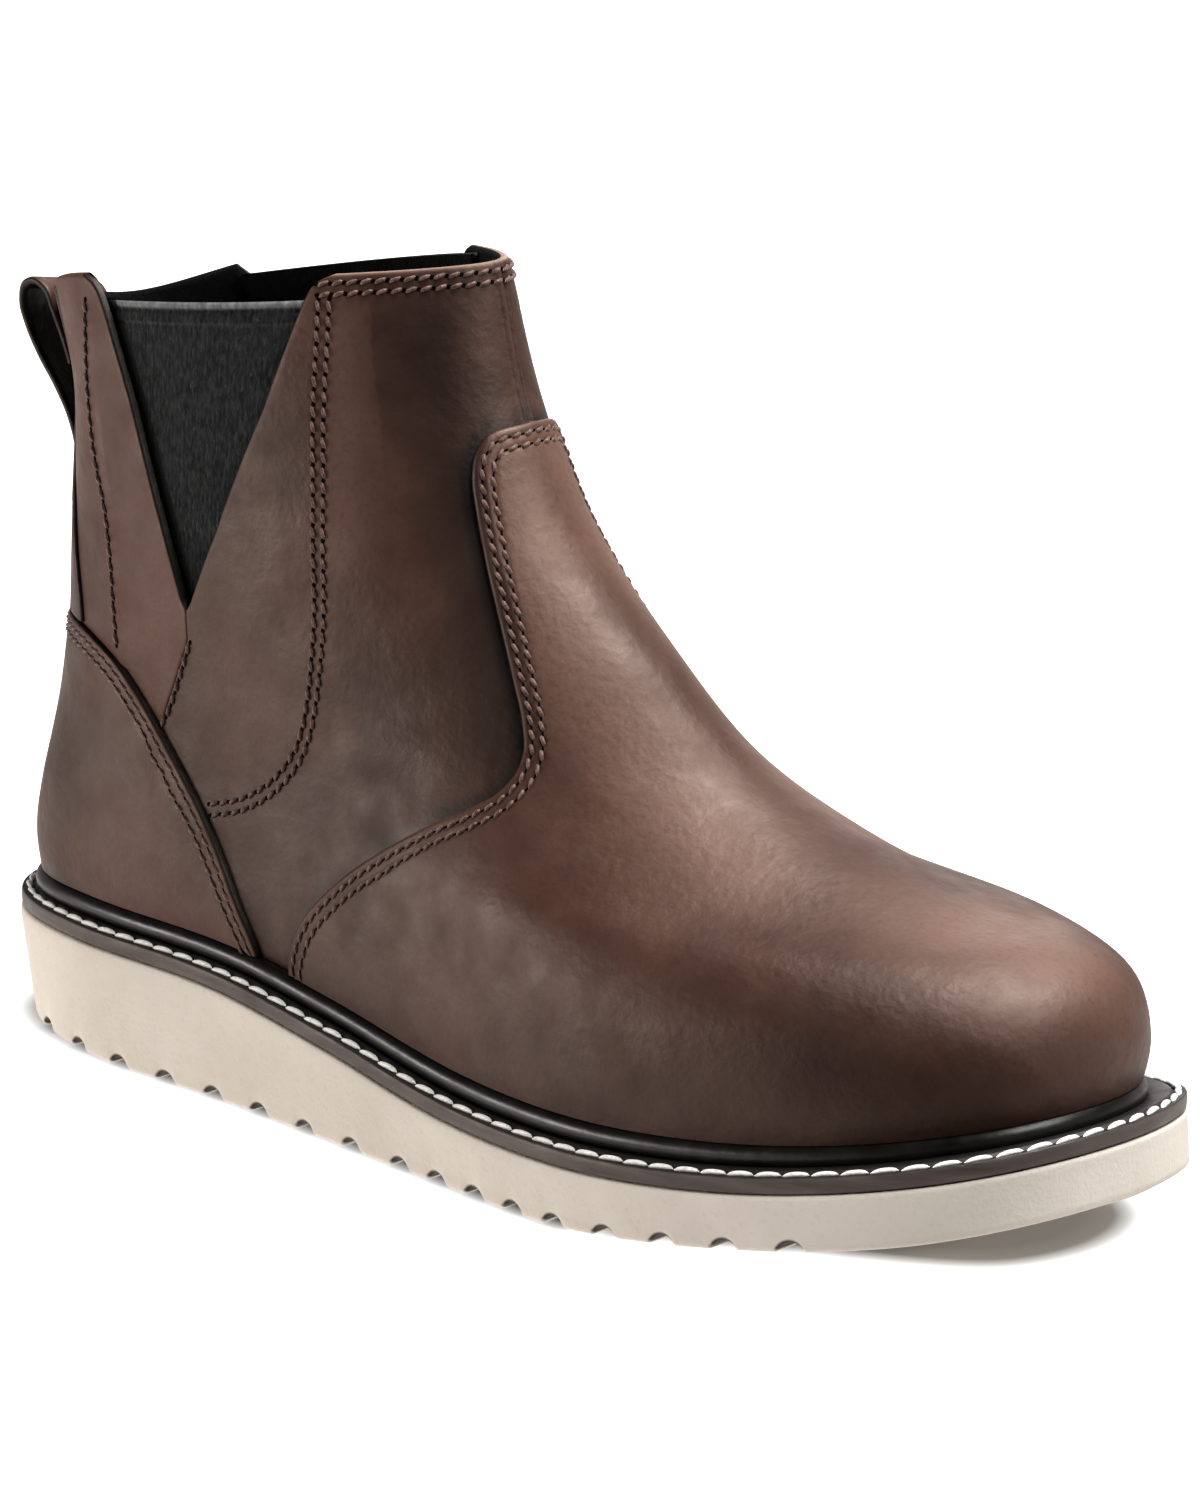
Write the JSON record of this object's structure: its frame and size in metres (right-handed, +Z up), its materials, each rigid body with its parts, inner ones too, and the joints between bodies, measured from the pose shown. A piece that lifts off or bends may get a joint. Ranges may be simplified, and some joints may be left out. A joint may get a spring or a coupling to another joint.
{
  "type": "chelsea work boot",
  "caption": "Right ankle-high pull-on leather work boot with elastic side gores, heel pull loop, stitched welt and cream wedge sole.",
  "frame": {"origin": "middle of the floor under the boot's box", "axes": "+X to the toe, +Y to the inner side of the right foot, +Z up"},
  "size_m": [0.3026, 0.1062, 0.1815],
  "materials": {
    "sole_rubber": "matte cream foam rubber",
    "welt_rubber": "satin dark brown",
    "rand_rubber": "glossy black",
    "insole_fabric": "matte black cloth",
    "upper_leather": "oiled dark brown, satin",
    "vamp_leather": "oiled dark brown, satin",
    "counter_leather": "oiled dark brown, satin",
    "strip_leather": "oiled dark brown, satin",
    "gore_fabric": "matte black elastic weave",
    "loop_leather": "oiled dark brown, satin"
  },
  "bodies": {
    "root": {"outsole": "sole_rubber", "welt": "welt_rubber", "rand": "rand_rubber", "insole": "insole_fabric", "upper": "upper_leather", "vamp": "vamp_leather", "heel_counter": "counter_leather", "back_strip": "strip_leather", "gore_lateral": "gore_fabric", "gore_medial": "gore_fabric", "pull_loop": "loop_leather"}
  },
  "joints": []
}
